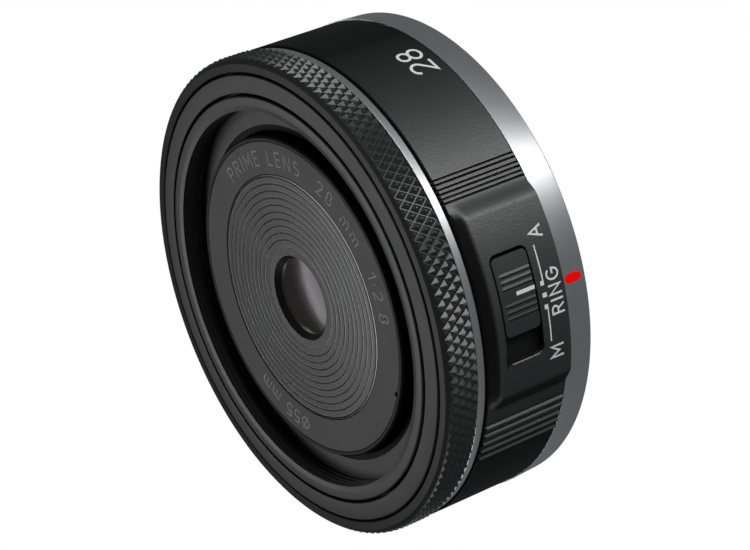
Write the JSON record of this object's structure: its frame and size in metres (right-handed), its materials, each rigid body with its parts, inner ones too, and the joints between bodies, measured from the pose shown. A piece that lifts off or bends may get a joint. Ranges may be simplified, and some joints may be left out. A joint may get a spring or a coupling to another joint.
{
  "type": "prime camera lens",
  "caption": "Compact wide-angle prime lens: knurled control ring, extending focus tube, focus-mode switch, iris and bayonet mount.",
  "frame": {"origin": "centre of the mount's seating face, on the optical axis", "axes": "+Z along the optical axis to the front; -Y towards the index mark and the switch"},
  "size_m": [0.069, 0.0698, 0.0301],
  "materials": {
    "bright_ring": "satin turned",
    "mount_metal": "polished plate",
    "screw_steel": "satin",
    "black_shell": "fine grain",
    "grip_black": "moulded knurl",
    "filter_black": "black anodised",
    "cell_black": "matte",
    "contact_gold": "gold plated",
    "index_paint": "gloss",
    "line_white": "satin",
    "cam_metal": "satin",
    "seal_rubber": "matte",
    "board_green": "solder mask",
    "chip_black": "matte",
    "motor_steel": "satin",
    "gear_white": "moulded",
    "gear_brass": "satin",
    "iris_black": "matte",
    "coated_glass": "coated"
  },
  "bodies": {
    "body": {"mount_flange": "mount_metal", "flange_screws": "screw_steel", "rear_baffle": "cell_black", "contact_block": "cell_black", "contact_pads": "contact_gold", "rear_ring": "bright_ring", "index_mark": "index_paint", "main_chassis": "cell_black", "main_board": "board_green", "board_chips": "chip_black", "guide_sleeve": "cell_black", "cam_retainer": "screw_steel", "dust_seal": "seal_rubber", "focus_motor": "motor_steel", "gear_bracket": "cell_black", "home_sensor": "cell_black", "outer_barrel": "black_shell", "switch_board": "board_green", "accent_ring": "bright_ring", "front_housing": "black_shell", "ring_sensor": "cell_black", "wave_washer": "screw_steel", "front_trim_ring": "black_shell", "filter_ring": "filter_black"},
    "grip": {"control_ring": "grip_black", "encoder_strip": "cell_black"},
    "focus_switch": {"switch_knob": "black_shell", "knob_line": "line_white", "switch_brush": "contact_gold"},
    "cam": {"cam_ring": "cam_metal"},
    "idler": {"idler_gear": "gear_white"},
    "motor_gear": {"motor_pinion": "gear_brass"},
    "focus_unit": {"inner_barrel": "filter_black", "guide_rollers": "screw_steel", "nameplate_ring": "black_shell", "front_baffle": "cell_black", "front_cell": "cell_black", "rear_cell": "cell_black", "cell_screws": "screw_steel", "lens_1": "coated_glass", "lens_2": "coated_glass", "lens_3": "coated_glass", "lens_4": "coated_glass", "lens_5": "coated_glass", "lens_6": "coated_glass", "lens_7": "coated_glass", "lens_8": "coated_glass", "iris_base": "cell_black", "iris_cover": "cell_black", "iris_motor": "motor_steel"},
    "iris_drive": {"iris_ring": "iris_black"},
    "iris_motor_gear": {"iris_pinion": "gear_brass"},
    "blade_1": {"iris_blade_1": "iris_black"},
    "blade_2": {"iris_blade_2": "iris_black"},
    "blade_3": {"iris_blade_3": "iris_black"},
    "blade_4": {"iris_blade_4": "iris_black"},
    "blade_5": {"iris_blade_5": "iris_black"},
    "blade_6": {"iris_blade_6": "iris_black"},
    "blade_7": {"iris_blade_7": "iris_black"}
  },
  "joints": [
    {"name": "grip_turn", "type": "hinge", "parent": "body", "child": "grip", "pos_m": [0, 0, 0.022], "axis": [0, 0, 1], "continuous": true},
    {"name": "switch_turn", "type": "hinge", "parent": "body", "child": "focus_switch", "pos_m": [0, 0, 0.0123], "axis": [0, 0, 1], "range_deg": [-5.2, 0]},
    {"name": "cam_turn", "type": "hinge", "parent": "body", "child": "cam", "pos_m": [0, 0, 0.0103], "axis": [0, 0, 1], "range_deg": [0, 60]},
    {"name": "idler_turn", "type": "hinge", "parent": "body", "child": "idler", "pos_m": [-0.0097, 0.02664, 0.0165], "axis": [0, 0, 1], "range_deg": [-886, 1]},
    {"name": "motor_turn", "type": "hinge", "parent": "body", "child": "motor_gear", "pos_m": [-0.01299, 0.0252, 0.0175], "axis": [0, 0, 1], "range_deg": [-1, 1771]},
    {"name": "focus_slide", "type": "slide", "parent": "body", "child": "focus_unit", "axis": [0, 0, 1], "range_m": [0, 0.0048]},
    {"name": "iris_turn", "type": "hinge", "parent": "focus_unit", "child": "iris_drive", "pos_m": [0, 0, 0.016], "axis": [0, 0, 1], "range_deg": [-4.8, 0]},
    {"name": "iris_motor_turn", "type": "hinge", "parent": "focus_unit", "child": "iris_motor_gear", "pos_m": [0.01462, -0.00258, 0.016], "axis": [0, 0, 1], "range_deg": [-1, 43.5]},
    {"name": "blade_1_pivot", "type": "hinge", "parent": "focus_unit", "child": "blade_1", "pos_m": [0, -0.0113, 0.0147], "axis": [0, 0, 1], "range_deg": [-0.1, 25.1]},
    {"name": "blade_2_pivot", "type": "hinge", "parent": "focus_unit", "child": "blade_2", "pos_m": [0.00884, -0.00705, 0.01485], "axis": [0, 0, 1], "range_deg": [-0.1, 25.1]},
    {"name": "blade_3_pivot", "type": "hinge", "parent": "focus_unit", "child": "blade_3", "pos_m": [0.01102, 0.00251, 0.015], "axis": [0, 0, 1], "range_deg": [-0.1, 25.1]},
    {"name": "blade_4_pivot", "type": "hinge", "parent": "focus_unit", "child": "blade_4", "pos_m": [0.0049, 0.01018, 0.01515], "axis": [0, 0, 1], "range_deg": [-0.1, 25.1]},
    {"name": "blade_5_pivot", "type": "hinge", "parent": "focus_unit", "child": "blade_5", "pos_m": [-0.0049, 0.01018, 0.0153], "axis": [0, 0, 1], "range_deg": [-0.1, 25.1]},
    {"name": "blade_6_pivot", "type": "hinge", "parent": "focus_unit", "child": "blade_6", "pos_m": [-0.01102, 0.00251, 0.01545], "axis": [0, 0, 1], "range_deg": [-0.1, 25.1]},
    {"name": "blade_7_pivot", "type": "hinge", "parent": "focus_unit", "child": "blade_7", "pos_m": [-0.00884, -0.00705, 0.0156], "axis": [0, 0, 1], "range_deg": [-0.1, 25.1]}
  ],
  "couplings": [
    {"joint": "focus_slide", "follows": "cam_turn", "m_per_rad": 0.0045837},
    {"joint": "idler_turn", "follows": "cam_turn", "ratio": -14.75},
    {"joint": "motor_turn", "follows": "cam_turn", "ratio": 29.5},
    {"joint": "iris_motor_turn", "follows": "iris_turn", "ratio": -8.9},
    {"joint": "blade_1_pivot", "follows": "iris_turn", "ratio": -5.2083},
    {"joint": "blade_2_pivot", "follows": "iris_turn", "ratio": -5.2083},
    {"joint": "blade_3_pivot", "follows": "iris_turn", "ratio": -5.2083},
    {"joint": "blade_4_pivot", "follows": "iris_turn", "ratio": -5.2083},
    {"joint": "blade_5_pivot", "follows": "iris_turn", "ratio": -5.2083},
    {"joint": "blade_6_pivot", "follows": "iris_turn", "ratio": -5.2083},
    {"joint": "blade_7_pivot", "follows": "iris_turn", "ratio": -5.2083}
  ]
}
